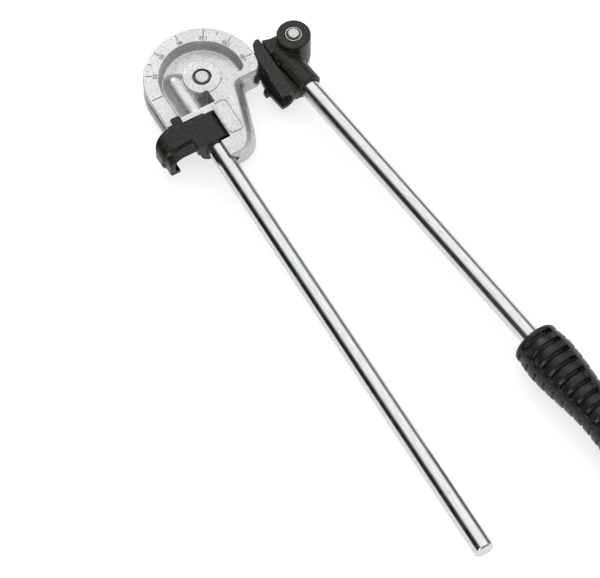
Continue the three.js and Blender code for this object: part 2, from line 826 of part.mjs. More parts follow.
// Radius of the grip at a distance from its mouth.
function gripRadius(at) {
  const knots = [
    [gripShoulder, gripBulgeRadius - gripShoulderInset],
    [gripBulge, gripBulgeRadius],
    [gripWaistAt, gripWaistRadius],
    [gripPalmAt, gripPalmRadius],
    [gripLength - gripEndRound, gripEndRadius + gripEndRound],
  ];
  const last = knots.findIndex(([place]) => place >= at);
  if (last === 0) {
    const share = Math.sin((Math.PI / 2) * (at / gripShoulder));
    return THREE.MathUtils.lerp(gripMouthRadius, knots[0][1], share);
  }
  if (last === -1) {
    const rest = (at - gripLength + gripEndRound) / gripEndRound;
    return gripEndRadius + gripEndRound * Math.sqrt(Math.max(0, 1 - rest * rest));
  }
  const [from, to] = [knots[last - 1], knots[last]];
  const share = THREE.MathUtils.smoothstep(at, from[0], to[0]);
  return THREE.MathUtils.lerp(from[1], to[1], share);
}

function grip() {
  const stations = [0, gripShoulder / 4, gripShoulder / 2];
  for (let at = gripShoulder; at < gripLength - gripEndRound; at += ringPitch / 2) stations.push(at);
  gripEndShares.forEach((share) => stations.push(gripLength - gripEndRound * (1 - share)));
  const skin = stations.map((at) => [gripRadius(at), at]);
  const body = solid(turned([[0, 0], ...skin, [0, gripLength]], gripSides));
  const rings = [];
  for (let i = 0; i < ringCount; i += 1) {
    const low = ringFirst + i * ringPitch;
    const high = low + ringWidth;
    const floor = Math.min(gripRadius(low), gripRadius(high)) - ringDepth;
    rings.push(solid(ring(floor, gripBulgeRadius + overrun, low, high, gripSides)));
  }
  const spines = [-1, 1].map((side) => {
    const reach = gripBulgeRadius + 2 * overrun;
    const spine = box(0, reach, -spineHalfWidth, spineHalfWidth, 0, gripLength);
    return solid(spine.rotateZ(Math.PI / 2 + side * THREE.MathUtils.degToRad(spineAngle)));
  });
  const grooves = cut(join(...rings), ...spines);
  const bore = rod(socketRadius, -overrun, gripLength - gripFloor + seatGap, leverSides);
  const shaped = cut(body, grooves, solid(bore));
  const upright = shaped.rotate([90, 0, 0]).translate([-leverInset, -gripStart, leverZ]);
  return upright.rotate([0, 0, leverSplay]).translate([headPinX, headPinY, 0]);
}

// The hook's section in X and Z, from the collar out over the groove and down outside it.
function hookSection(drop) {
  const throat = tubeRadius + hookThroat;
  const innerX = -bendRadius - throat;
  const outerX = innerX - hookWall + drop;
  const roof = leverZ + hookCrown - drop;
  const tipZ = leverZ - hookTipDrop;
  const shape = new THREE.Shape();
  shape.moveTo(-fixedLeverX, leverZ);
  shape.lineTo(-fixedLeverX, roof);
  shape.lineTo(outerX + 2 * hookShoulder, roof);
  shape.quadraticCurveTo(outerX, roof, outerX, leverZ);
  shape.lineTo(outerX, tipZ + hookTipRound);
  shape.quadraticCurveTo(outerX, tipZ, outerX + hookTipRound, tipZ);
  shape.lineTo(innerX, tipZ);
  shape.lineTo(innerX, leverZ);
  shape.absarc(-bendRadius, leverZ, throat, Math.PI, Math.PI / 2, true);
  shape.lineTo(-fixedLeverX - collarRadius, leverZ + throat);
  shape.lineTo(-fixedLeverX - collarRadius * collarLeanShare, leverZ);
  return shape;
}

function hookBracket() {
  const tipZ = leverZ - hookTipDrop;
  const outerX = -bendRadius - tubeRadius - hookThroat - hookWall;
  const top = leverZ + hookCrown + overrun;
  const band = solid(drawnAlongY(hookSection(0), -hookStep, -hookBack, smallSides / 2));
  const stepFoot = hookStep + hookStepDrop;
  const shelf = solid(drawnAlongY(hookSection(hookStepDrop), -collarTo, -stepFoot, smallSides / 2));
  const step = solid(loftAlongY(hookSection(hookStepDrop), hookSection(0), -stepFoot, -hookStep));
  const root = box(-hookStepX, -fixedLeverX, -collarTo, -collarFrom, leverZ, leverZ + hookCrown);
  const plan = new THREE.Shape();
  plan.moveTo(0, -collarTo - overrun);
  plan.lineTo(0, -hookBack);
  plan.lineTo(-hookCornerFrom, -hookBack);
  plan.quadraticCurveTo(outerX - seatGap, -hookBack - hookCornerLean, outerX - seatGap, -hookCornerTo);
  plan.lineTo(outerX - seatGap, -collarTo - overrun);
  const collarBack = box(-bridgeCornerX - seatGap, overrun, -collarFrom, 0, 0, top);
  const collar = alongLever(ring(socketRadius, collarRadius, collarFrom, collarTo, roundSides));
  const crown = box(-bendRadius, overrun, -collarTo - overrun, 0, leverZ + hookCrown, top + collarRadius);
  const bore = alongLever(rod(socketRadius, 0, collarTo + overrun, leverSides));
  const lip = box(
    outerX + hookTipRound + hookStepDrop, -bendRadius - tubeRadius + lipReach, -collarTo, -lipFrom,
    tipZ, tipZ + lipThickness,
  );
  const lugZ = dialZ + seatGap;
  const lug = raised(
    roundedRectangle(-lugOuterX, -lugInnerX, -hookBack - hookWall, -lugFrom, lugCorner),
    lugZ, leverZ + hookCrown,
  );
  const arm = cut(join(band, step, shelf).intersect(solid(raised(plan, 0, top))), solid(collarBack));
  return cut(
    join(arm, solid(root), solid(collar.translate(-fixedLeverX, 0, leverZ)), solid(lip), solid(lug)),
    solid(crown),
    solid(bore.translate(-fixedLeverX, 0, leverZ)),
  );
}

// A skin between two like sections in X and Z, at two places along Y.
function loftAlongY(lowShape, highShape, low, high) {
  const levels = [
    { shape: highShape, z: -high },
    { shape: lowShape, z: -low },
  ];
  return loft(levels, smallSides / 2).rotateX(Math.PI / 2);
}

function washer(inner, outer, thickness) {
  return solid(ring(inner, outer, washerBottom, washerBottom + thickness, pinSides));
}

const bender = new THREE.Group();

const former = new THREE.Group();
former.add(
  piece('former_casting', formerCasting(), castAluminium),
  piece('pivot_bush', pivotBush(), bronze),
  piece('fixed_lever', fixedLever(), zincSteel),
  piece('lever_lock_pin', leverLockPin(), darkSteel),
);

const hook = new THREE.Group();
hook.add(piece('hook_bracket', hookBracket(), blackCasting));

const link = new THREE.Group();
const headPinMesh = piece('head_pin', headPin(), brightSteel);
const headWasherMesh = piece(
  'head_washer', washer(headPinRadius + seatGap, headWasherRadius, headWasherThickness), zincSteel,
);
const headRetainerMesh = piece('head_retaining_ring', headRetainer(), darkSteel);
[headPinMesh, headWasherMesh, headRetainerMesh].forEach((mesh) => mesh.position.set(headPinX, headPinY, 0));
link.add(
  piece('link_plate', linkPlate(), zincSteel),
  piece('pivot_pin', pivotPin(), brightSteel),
  piece('pivot_washer', washer(pivotPinRadius + seatGap, pivotWasherRadius, pivotWasherThickness), zincSteel),
  piece('pivot_retaining_ring', pivotRetainer(), darkSteel),
  headPinMesh,
  headWasherMesh,
  headRetainerMesh,
);

const head = new THREE.Group();
const headBushMesh = piece('head_bush', headBush(), brightSteel);
headBushMesh.position.set(headPinX, headPinY, 0);
head.add(
  piece('head_casting', headCasting(), blackCasting),
  headBushMesh,
  piece('slide_shoe', slideShoe(), blackPlastic),
  piece('shoe_rivet_lower', shoeRivet(lowerRivetY), zincSteel),
  piece('shoe_rivet_upper', shoeRivet(upperRivetY), zincSteel),
  piece('moving_lever', movingLever(), zincSteel),
  piece('moving_lever_pin', leverPin(), darkSteel),
  piece('grip', grip(), gripRubber),
);

bender.add(former, hook, link, head);

export default bender;
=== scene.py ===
import json
import math

import bpy
from mathutils import Matrix, Vector


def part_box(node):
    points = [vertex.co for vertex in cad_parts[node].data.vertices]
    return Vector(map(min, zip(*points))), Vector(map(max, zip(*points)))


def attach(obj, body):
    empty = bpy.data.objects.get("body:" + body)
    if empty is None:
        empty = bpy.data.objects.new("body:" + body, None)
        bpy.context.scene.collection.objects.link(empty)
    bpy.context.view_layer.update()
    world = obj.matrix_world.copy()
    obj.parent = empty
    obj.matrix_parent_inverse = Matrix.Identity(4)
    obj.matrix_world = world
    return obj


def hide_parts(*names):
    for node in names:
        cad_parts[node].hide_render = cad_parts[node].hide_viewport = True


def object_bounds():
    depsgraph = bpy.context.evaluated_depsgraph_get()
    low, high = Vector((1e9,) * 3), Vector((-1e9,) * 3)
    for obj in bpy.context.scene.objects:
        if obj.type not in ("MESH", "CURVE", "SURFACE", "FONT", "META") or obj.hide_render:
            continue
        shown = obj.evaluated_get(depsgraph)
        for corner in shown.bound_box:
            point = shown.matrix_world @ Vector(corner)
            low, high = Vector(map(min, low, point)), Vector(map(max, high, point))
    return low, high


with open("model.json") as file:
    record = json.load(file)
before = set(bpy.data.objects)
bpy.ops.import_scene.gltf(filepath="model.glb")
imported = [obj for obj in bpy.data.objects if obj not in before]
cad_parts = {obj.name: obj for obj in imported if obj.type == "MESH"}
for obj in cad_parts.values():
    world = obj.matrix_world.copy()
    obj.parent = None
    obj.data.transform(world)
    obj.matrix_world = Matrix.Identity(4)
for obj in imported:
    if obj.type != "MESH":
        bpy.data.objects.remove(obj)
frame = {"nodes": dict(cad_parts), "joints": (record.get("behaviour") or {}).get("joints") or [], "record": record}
cad_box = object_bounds()

bl_info = {
    "name": "Two-hand tube bender",
    "version": (1, 1, 0),
    "blender": (4, 5, 0),
    "location": "View3D > Sidebar > Bender",
    "description": "Dresses the packed model of a two-hand tube bender and sets its studio",
    "category": "Add Mesh",
}

MM = 0.001
RIGHT_ANGLE = math.radians(90)

# Two places or radii this close count as one
TINY = 0.01 * MM

# Corners of a CAD node this close are one, and faces that turn by less are one flat face
SAME_CORNER = 0.002 * MM
FLAT_ANGLE = math.radians(0.4)

# Corners of a turned node whose directions differ by less lie on one line of its outline
SAME_DIRECTION = 0.01

# Rings in the rounding of the grip's mouth, in each of its bands and in the rounding of its end
MOUTH_RINGS = 4
BAND_RINGS = (0, 0.25, 0.5, 0.75, 0.92, 1)
END_RINGS = (0.25, 0.6, 0.85, 1)

# Sockets of the node that mixes colours, because their names repeat
MIX_FACTOR, MIX_FIRST, MIX_SECOND = 0, 6, 7
MIX_RESULT = 2

# Brightness of the soft box, from outside its edge to its middle
SOFT_BOX_EDGE = ((0.5, 0), (0.66, 0.06), (0.78, 0.62), (0.9, 1))

# Where the room has its full brightness on the right, and where the light from the front ends
ROOM_RIGHT_END = 0.9
ROOM_FRONT_END = 0.3


# Sizes and colours that a user would change

def length(name, description, millimetres):
    return bpy.props.FloatProperty(
        name=name, description=description, default=millimetres * MM, unit="LENGTH")


def position(name, description, metres):
    return bpy.props.FloatVectorProperty(
        name=name, description=description, default=metres, size=len(metres), unit="LENGTH")


def angle(name, description, degrees):
    return bpy.props.FloatProperty(
        name=name, description=description, default=math.radians(degrees), subtype="ANGLE")


def share(name, description, value):
    return bpy.props.FloatProperty(
        name=name, description=description, default=value, min=0, max=1, subtype="FACTOR")


def amount(name, description, value, unit="NONE"):
    return bpy.props.FloatProperty(name=name, description=description, default=value, unit=unit)


def number(name, description, value):
    return bpy.props.IntProperty(name=name, description=description, default=value)


def colour(name, description, value):
    return bpy.props.FloatVectorProperty(
        name=name, description=description, subtype="COLOR", size=3, default=value, min=0, max=1)


class FinishSettings(bpy.types.PropertyGroup):
    """Colours and gloss of the finishes"""
    casting: colour("Casting", "Bare die-cast aluminium", (0.62, 0.62, 0.615))
    casting_roughness: share("Casting roughness", "Roughness of the tumbled casting", 0.33)
    zinc: colour("Zinc", "Bright zinc on the levers", (0.63, 0.645, 0.65))
    zinc_roughness: share("Zinc roughness", "Roughness of the zinc", 0.16)
    steel: colour("Steel", "Bright steel pin ends", (0.53, 0.53, 0.515))
    dark_steel: colour("Dark steel", "Spring steel rings and pins", (0.1, 0.1, 0.1))
    black_paint: colour("Black paint", "Black coat on the hook and the head", (0.0165, 0.018, 0.0125))
    black_plastic: colour("Black plastic", "Moulded plastic of the slide shoe", (0.018, 0.0195, 0.015))
    bronze: colour("Bronze", "Sintered bronze bush", (0.22, 0.17, 0.11))
    rubber: colour("Rubber", "Rubber of the grip", (0.0135, 0.0145, 0.0135))
    ink: colour("Ink", "Dark fill of the dial marks", (0.09, 0.08, 0.07))


class EdgeSettings(bpy.types.PropertyGroup):
    """How the pieces' edges are rounded and smoothed"""
    cast_grain: length("Cast grain", "Grid on which the bare casting is smoothed", 0.36)
    coat_grain: length("Coated grain", "Grid on which the black castings are smoothed", 0.3)
    plastic_grain: length("Plastic grain", "Grid on which the slide shoe is smoothed", 0.26)
    rubber_grain: length("Rubber grain", "Grid on which the grip is smoothed", 0.38)
    passes: number("Passes", "Smoothing passes of a cast or moulded piece", 3)
    pass_strength: share("Strength of a pass", "How far a smoothing pass evens a piece out", 0.5)
    most_faces: number("Most faces", "Triangles that a cast or moulded piece keeps", 170000)
    cut_edge: length("Cut edge", "Rounding of a machined edge", 0.2)
    cut_steps: number("Cut edge steps", "Faces across the rounding of a machined edge", 3)
    sharp_angle: angle("Sharp angle", "Edges that turn by more than this are rounded", 32)
    smooth_angle: angle("Smooth angle", "Edges that turn by less than this are shaded smooth", 40)
    round_sides: number("Sides", "Sides of a turned piece", 96)


class LeverSettings(bpy.types.PropertyGroup):
    """How the moving lever lies at rest"""
    splay: angle("Splay", "Angle of the moving lever out of the fixed lever's direction", 6.65)
    inset: length("Inset", "Distance of the moving lever's axis from the head pin", 11.1)
    chamfer: length("Chamfer", "Chamfer of a lever's end", 1)
    pin_gap: length("Pin gap", "Gap round a pin in its lever", 0.3)


class GripSettings(bpy.types.PropertyGroup):
    """Form of the rubber grip, with distances from the CAD grip's mouth"""
    start: length("Start", "Where the rubber's own mouth lies", 4.4)
    mouth: length("Mouth", "Radius at the mouth", 14.5)
    shoulder: length("Shoulder", "Where the mouth's rounding ends", 6.6)
    shoulder_radius: length("Shoulder radius", "Radius at the shoulder", 16.4)
    bulge: length("Bulge", "Where the grip is thickest", 22.4)
    bulge_radius: length("Bulge radius", "Radius at the bulge", 17.9)
    waist: length("Waist", "Where the grip is thinnest", 74)
    waist_radius: length("Waist radius", "Radius at the waist", 14.1)
    palm: length("Palm", "Where the grip swells again", 104)
    palm_radius: length("Palm radius", "Radius at the palm", 15.6)
    end_radius: length("End radius", "Radius of the flat end", 11)
    end_round: length("End rounding", "Rounding of the end", 4)
    scoop: length("Scoop", "How much lower each band starts than it ends", 1.5)
    pitch: length("Pitch", "Distance from one groove to the next", 8.8)
    first: length("First groove", "Where the first groove starts", 8.6)
    groove: length("Groove", "Width of a groove", 2.8)
    depth: length("Depth", "Depth of a groove in the upper side", 3.4)
    back_depth: length("Back depth", "Depth of a groove in the palm's side", 2.4)
    count: number("Grooves", "Number of grooves", 12)
    rib: length("Rib", "Half width of the two ribs without grooves", 2.4)
    left_rib: angle("Left rib", "Angle of the left rib from the top", 64)
    right_rib: angle("Right rib", "Angle of the right rib from the top", 41)
    floor: length("Floor", "Rubber behind the lever's end", 5.7)


class DialSettings(bpy.types.PropertyGroup):
    """Degree marks round the dial"""
    step: number("Step", "Degrees between two marks", 30)
    last: number("Last mark", "Degrees of the last mark", 180)
    offset: angle("Offset", "Angle that brings the numbered marks nearer to the zero line", -0.6)
    outer: length("Outer end", "Distance from the bend axis to the outer end of a mark", 39)
    inner: length("Inner end", "Distance from the bend axis to the inner end of a mark", 34.4)
    short_at: bpy.props.IntVectorProperty(
        name="Short marks", description="Degrees of the short marks", size=2, default=(45, 135))
    short_inner: length(
        "Short inner end", "Distance from the bend axis to the inner end of a short mark", 36)
    zero_outer: length("Zero outer end", "Distance to the outer end of the zero line", 39.2)
    zero_inner: length("Zero inner end", "Distance to the inner end of the zero line", 30.6)
    line: length("Line", "Width of a mark", 0.65)
    numeral_radius: length(
        "Numeral radius", "Distance from the bend axis to the numerals' middle", 32.5)
    numeral_height: length("Numeral height", "Height of the numerals", 4.2)
    stroke: length("Stroke", "How much the numerals' strokes are thickened", 0.06)
    proud: length("Proud", "How far the marks stand out of the dial", 0.05)


class FieldSettings(bpy.types.PropertyGroup):
    """Raised border round the bare field on the arm"""
    low: position("Low corner", "Corner nearer to the foot", (-5.7 * MM, -50 * MM))
    high: position("High corner", "Corner nearer to the hub", (6 * MM, -22 * MM))
    corner: length("Corner", "Rounding of the border's corners", 3.8)
    corner_steps: number("Corner steps", "Edges round each corner", 6)
    rim: length("Rim", "Width of the border", 1.2)
    height: length("Height", "How far the border stands out of the arm", 0.7)


class StudioSettings(bpy.types.PropertyGroup):
    """Camera, floor and lamps"""
    camera_place: position(
        "Camera place", "Where the camera stands", (-0.59175, -1.1599, 2.0210))
    camera_tilt: angle("Camera tilt", "Angle of the view from straight down", 29.62)
    camera_turn: angle("Camera turn", "Turn of the view about the vertical", -30)
    lens: amount("Lens", "Focal length in millimetres", 206.94, "CAMERA")
    floor: length("Floor", "Width of the floor", 8000)
    floor_shade: share("Floor shade", "How much of its light the floor takes from the lamps", 0.45)
    floor_glow: share("Floor glow", "How much light the floor shows of its own", 0.7)
    sky: amount("Soft box", "Brightness of the soft box overhead", 1.3)
    box_lean: bpy.props.FloatVectorProperty(
        name="Soft box side", description="Towards where the soft box hangs over", size=3,
        default=(0.19, 0.25, 1))
    room_left: share("Room, left", "Brightness round the horizon on the left", 0.015)
    room_right: share("Room, right", "Brightness round the horizon on the right", 0.16)
    room_front: share("Room, front", "Brightness that the room has more in front", 0.17)
    lamp_aim: position("Lamps' aim", "Where both lamps point to", (0.1, -0.18, 0.02))
    rim_place: position("Rim lamp place", "Where the lamp behind hangs", (0.1, 1.5, 0.95))
    rim_size: length("Rim lamp size", "Width of the lamp behind", 800)
    rim_power: amount("Rim lamp power", "Power of the lamp behind", 8, "POWER")
    front_place: position("Front lamp place", "Where the lamp in front hangs", (-0.8, -1.35, 0.5))
    front_size: length("Front lamp size", "Width of the lamp in front", 500)
    front_power: amount("Front lamp power", "Power of the lamp in front", 6, "POWER")


def settings(name):
    """One group of settings, by its name in SETTINGS."""
    return getattr(bpy.context.scene, "bender_" + name)


# Places that come from the frame

def joint_place(name):
    """Where a joint's axis passes, in metres."""
    return Vector(next(joint["pos_m"] for joint in frame["joints"] if joint["name"] == name))


def body_holding(node):
    """The body that a node belongs to."""
    return next(body for body, nodes in frame["record"]["behaviour"]["bodies"].items() if node in nodes)


def middle_of(node):
    """Middle of a node's box."""
    low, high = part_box(node)
    return (low + high) / 2


def dial_height():
    """Height of the dial's face. The slide shoe's top is flush with it."""
    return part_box("slide_shoe")[1].z


def upright(node):
    """A frame on a node's own upright axis."""
    middle = middle_of(node)
    return Matrix.Translation((middle.x, middle.y, 0))


def lengthwise(node):
    """A frame on a node's own axis along the fixed lever, with +Z towards the lever's free end."""
    middle = middle_of(node)
    return Matrix.Translation((middle.x, 0, middle.z)) @ Matrix.Rotation(RIGHT_ANGLE, 4, "X")


def crosswise(node):
    """A frame on a node's own axis across the groove, with +Z out of the groove."""
    middle = middle_of(node)
    return Matrix.Translation((0, middle.y, middle.z)) @ Matrix.Rotation(RIGHT_ANGLE, 4, "Y")


def along_moving_lever():
    """A frame on the moving lever's axis, abreast of the head pin, with +Z towards the grip."""
    pin = joint_place("head_swing")
    lever = settings("levers")
    turn = Matrix.Rotation(lever.splay, 4, "Z") @ Matrix.Translation((-lever.inset, 0, 0))
    height = middle_of("fixed_lever").z
    return Matrix.Translation((pin.x, pin.y, height)) @ turn @ Matrix.Rotation(RIGHT_ANGLE, 4, "X")


def spans(node, place):
    """Largest radius of a node about a frame's +Z, and its lowest and highest points along it."""
    back = place.inverted()
    points = [back @ vertex.co for vertex in frame["nodes"][node].data.vertices]
    heights = [point.z for point in points]
    return max(point.xy.length for point in points), min(heights), max(heights)


def outline_of(node, place):
    """A turned node's outline about a frame's +Z: radius and height of each corner, in order."""
    back = place.inverted()
    mesh = frame["nodes"][node].data
    points = [back @ vertex.co for vertex in mesh.vertices]
    corners = [(round(point.xy.length / TINY) * TINY, round(point.z / TINY) * TINY) for point in points]
    links = {}
    for polygon in mesh.polygons:
        for a, b in polygon.edge_keys:
            on_axis = corners[a][0] == 0 or corners[b][0] == 0
            beside = on_axis or points[a].xy.angle(points[b].xy) < SAME_DIRECTION
            if beside and corners[a] != corners[b] and corners[a][0] + corners[b][0] > 0:
                links.setdefault(corners[a], set()).add(corners[b])
                links.setdefault(corners[b], set()).add(corners[a])
    here = min(links, key=lambda corner: (corner[0] > 0, corner[1], corner[0]))
    outline = []
    while here:
        outline.append(here)
        here = min((corner for corner in links[here] if corner not in outline), default=None)
    return [corner for corner in outline if corner[0] > 0], outline[0][0] > 0


# Modelling helpers

def only(piece):
    """Selects one object and makes it active."""
    bpy.ops.object.select_all(action="DESELECT")
    piece.select_set(True)
    bpy.context.view_layer.objects.active = piece


def worked(piece, kind, **values):
    """Adds a modifier with these values and applies it."""
    only(piece)
    bpy.ops.object.modifier_add(type=kind)
    modifier = piece.modifiers[-1]
    for name, value in values.items():
        setattr(modifier, name, value)
    bpy.ops.object.modifier_apply(modifier=modifier.name)


def rounded(piece):
    """Rounds the sharp edges of a turned or cut piece."""
    edges = settings("edges")
    worked(piece, "BEVEL", width=edges.cut_edge, segments=edges.cut_steps, limit_method="ANGLE",
           angle_limit=edges.sharp_angle, use_clamp_overlap=True)


def cut(piece, tool):
    """Cuts a tool out of a piece and deletes the tool."""
    worked(piece, "BOOLEAN", operation="DIFFERENCE", solver="EXACT", object=tool)
    bpy.data.objects.remove(tool)


def put(piece, place):
    """Moves a piece made about the origin to its place, and leaves the place in its mesh."""
    only(piece)
    piece.matrix_world = place
    bpy.ops.object.transform_apply(location=True, rotation=True, scale=True)


def turned(name, outline, hollow=False):
    """A turned piece about +Z, drawn out ring by ring through the outline's radii and heights."""
    bpy.ops.object.select_all(action="DESELECT")
    radius, height = outline[0]
    foot = "NOTHING" if hollow else "NGON"
    bpy.ops.mesh.primitive_circle_add(
        vertices=settings("edges").round_sides, radius=radius, fill_type=foot)
    piece = bpy.context.object
    piece.name = name
    bpy.ops.object.mode_set(mode="EDIT")
    bpy.ops.mesh.select_all(action="SELECT")
    bpy.ops.transform.translate(value=(0, 0, height))
    for next_radius, next_height in outline[1:]:
        bpy.ops.mesh.extrude_region_move(TRANSFORM_OT_translate={"value": (0, 0, next_height - height)})
        ratio = next_radius / radius
        bpy.ops.transform.resize(value=(ratio, ratio, 1), center_override=(0, 0, next_height))
        radius, height = next_radius, next_height
    if hollow:
        bpy.ops.mesh.select_all(action="DESELECT")
        bpy.ops.mesh.select_mode(type="EDGE")
        bpy.ops.mesh.select_non_manifold()
        bpy.ops.mesh.bridge_edge_loops()
    bpy.ops.mesh.select_all(action="SELECT")
    bpy.ops.mesh.normals_make_consistent(inside=False)
    bpy.ops.object.mode_set(mode="OBJECT")
    return piece


def selected(piece, kind, wanted):
    """Selects the faces or points that pass a test, goes into edit mode and returns them."""
    only(piece)
    bpy.ops.object.mode_set(mode="EDIT")
    bpy.ops.mesh.select_mode(type=kind)
    bpy.ops.mesh.select_all(action="DESELECT")
    bpy.ops.object.mode_set(mode="OBJECT")
    everything = piece.data.polygons if kind == "FACE" else piece.data.vertices
    chosen = [element for element in everything if wanted(element)]
    for element in chosen:
        element.select = True
    bpy.ops.object.mode_set(mode="EDIT")
    return chosen


def copy_of(node):
    """A copy of a CAD node with its corners merged and its flat faces made whole."""
    mesh = frame["nodes"][node].data.copy()
    mesh.materials.clear()
    piece = bpy.data.objects.new("dressed_" + node, mesh)
    bpy.context.scene.collection.objects.link(piece)
    only(piece)
    bpy.ops.object.mode_set(mode="EDIT")
    bpy.ops.mesh.select_all(action="SELECT")
    bpy.ops.mesh.remove_doubles(threshold=SAME_CORNER)
    bpy.ops.mesh.dissolve_limited(angle_limit=FLAT_ANGLE)
    bpy.ops.object.mode_set(mode="OBJECT")
    return piece


def moulded(piece, grain):
    """Gives a piece the soft edges and fillets of a cast or moulded one."""
    edges = settings("edges")
    worked(piece, "REMESH", mode="VOXEL", voxel_size=grain, use_smooth_shade=True)
    worked(piece, "SMOOTH", factor=edges.pass_strength, iterations=edges.passes)
    triangles = sum(len(face.vertices) - 2 for face in piece.data.polygons)
    worked(piece, "DECIMATE", ratio=min(1, edges.most_faces / triangles))
    return piece


def turned_copy(node, place):
    """A finely turned piece with a CAD node's outline."""
    outline, hollow = outline_of(node, place)
    piece = turned("dressed_" + node, outline, hollow)
    rounded(piece)
    put(piece, place)
    return piece


def hole_for(node, place):
    """A tool that cuts a hole with room for a pin."""
    radius, low, high = spans(node, place)
    gap = settings("levers").pin_gap
    tool = turned("hole", [(radius + gap, low - gap), (radius + gap, high + gap)])
    put(tool, place)
    return tool


def finish(piece, slot, *nodes, body=None, look=None):
    """Smooths a piece, gives it its finish and hangs it on its body."""
    only(piece)
    bpy.ops.object.shade_smooth_by_angle(angle=settings("edges").smooth_angle)
    worked(piece, "WEIGHTED_NORMAL", keep_sharp=True)
    piece.data.materials.clear()
    piece.data.materials.append(material_for(look or slot))
    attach(piece, body or body_holding(nodes[0]))
    if nodes:
        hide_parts(*nodes)


def dress_moulded(node, grain, slot, look=None):
    """Dresses a cast or moulded node."""
    finish(moulded(copy_of(node), grain), slot, node, look=look)


# Finishes

def new_material(name, colour, metallic, roughness):
    """A material with one shader, its node tree and the shader."""
    material = bpy.data.materials.new(name)
    material.use_nodes = True
    shader = material.node_tree.nodes["Principled BSDF"]
    shader.inputs["Base Color"].default_value = (*colour, 1)
    shader.inputs["Metallic"].default_value = metallic
    shader.inputs["Roughness"].default_value = roughness
    return material, material.node_tree, shader


def add_noise(tree, scale, detail, stretch=(1, 1, 1), turn=0):
    """Noise on the piece's own coordinates, drawn out along them and turned about the vertical.

    Its scale counts waves in a metre."""
    nodes, links = tree.nodes, tree.links
    place = nodes.new("ShaderNodeTexCoord")
    mapping = nodes.new("ShaderNodeMapping")
    mapping.vector_type = "TEXTURE"
    mapping.inputs["Scale"].default_value = stretch
    mapping.inputs["Rotation"].default_value = (0, 0, turn)
    noise = nodes.new("ShaderNodeTexNoise")
    noise.inputs["Scale"].default_value = scale
    noise.inputs["Detail"].default_value = detail
    links.new(place.outputs["Object"], mapping.inputs["Vector"])
    links.new(mapping.outputs["Vector"], noise.inputs["Vector"])
    return noise.outputs["Fac"]


def add_ramp(tree, source, stops):
    """A colour ramp from a list of (place, colour) pairs."""
    ramp = tree.nodes.new("ShaderNodeValToRGB")
    elements = ramp.color_ramp.elements
    while len(elements) < len(stops):
        elements.new(1)
    for element, (place, value) in zip(elements, stops):
        element.position = place
        element.color = (*value, 1)
    tree.links.new(source, ramp.inputs["Fac"])
    return ramp.outputs["Color"]


def grey(value):
    return (value, value, value)


def shades(colour, *factors):
    """The colour made darker or lighter by each factor."""
    return [tuple(min(1, part * factor) for part in colour) for factor in factors]


def mixed(tree, kind, first, second):
    """Two colours multiplied or added."""
    mix = tree.nodes.new("ShaderNodeMix")
    mix.data_type = "RGBA"
    mix.blend_type = kind
    mix.inputs[MIX_FACTOR].default_value = 1
    tree.links.new(first, mix.inputs[MIX_FIRST])
    tree.links.new(second, mix.inputs[MIX_SECOND])
    return mix.outputs[MIX_RESULT]


def add_bump(tree, shader, source, strength, distance):
    """Fine relief in the surface."""
    bump = tree.nodes.new("ShaderNodeBump")
    bump.inputs["Strength"].default_value = strength
    bump.inputs["Distance"].default_value = distance
    tree.links.new(source, bump.inputs["Height"])
    tree.links.new(bump.outputs["Normal"], shader.inputs["Normal"])


def vary_roughness(tree, shader, source, low, high):
    """Roughness that wanders between two values."""
    ramp = add_ramp(tree, source, [(0.35, grey(low)), (0.65, grey(high))])
    tree.links.new(ramp, shader.inputs["Roughness"])


def cast_aluminium():
    """Tumbled die-cast aluminium: pale, with fine dark and bright specks and soft clouds."""
    look = settings("finish")
    roughness = look.casting_roughness
    material, tree, shader = new_material(
        "cast aluminium", look.casting, metallic=0.8, roughness=roughness)
    dark, dull, pale, bright = shades(look.casting, 0.38, 0.84, 1.0, 1.14)
    specks = add_ramp(tree, add_noise(tree, scale=1300, detail=5), [
        (0.31, dark), (0.4, dull), (0.55, pale), (0.68, bright)])
    cool = (0.9, 0.91, 0.94)
    clouds = add_ramp(tree, add_noise(tree, scale=90, detail=3), [(0.36, cool), (0.6, grey(1))])
    tree.links.new(mixed(tree, "MULTIPLY", specks, clouds), shader.inputs["Base Color"])
    patches = add_noise(tree, scale=500, detail=3)
    vary_roughness(tree, shader, patches, low=roughness - 0.06, high=roughness + 0.12)
    grain = add_noise(tree, scale=900, detail=4)
    add_bump(tree, shader, grain, strength=0.5, distance=0.09 * MM)
    return material


def zinc_steel(turn=0):
    """Drawn bar with a bright zinc coat: faint streaks along the bar and a few dull spots."""
    look = settings("finish")
    roughness = look.zinc_roughness
    material, tree, shader = new_material("zinc steel", look.zinc, metallic=1.0, roughness=roughness)
    streaks = add_noise(tree, scale=2400, detail=2, stretch=(1, 30, 1), turn=turn)
    dark, pale = shades(look.zinc, 0.86, 1.04)
    spots = add_ramp(tree, add_noise(tree, scale=260, detail=5), [
        (0.28, grey(0.8)), (0.4, grey(1))])
    lines = add_ramp(tree, streaks, [(0.35, dark), (0.6, pale)])
    tree.links.new(mixed(tree, "MULTIPLY", lines, spots), shader.inputs["Base Color"])
    patches = add_noise(tree, scale=160, detail=4)
    vary_roughness(tree, shader, patches, low=roughness - 0.03, high=roughness + 0.06)
    add_bump(tree, shader, streaks, strength=0.1, distance=0.02 * MM)
    return material


def splayed_zinc():
    """The same coat, with its streaks along the moving lever."""
    return zinc_steel(settings("levers").splay)


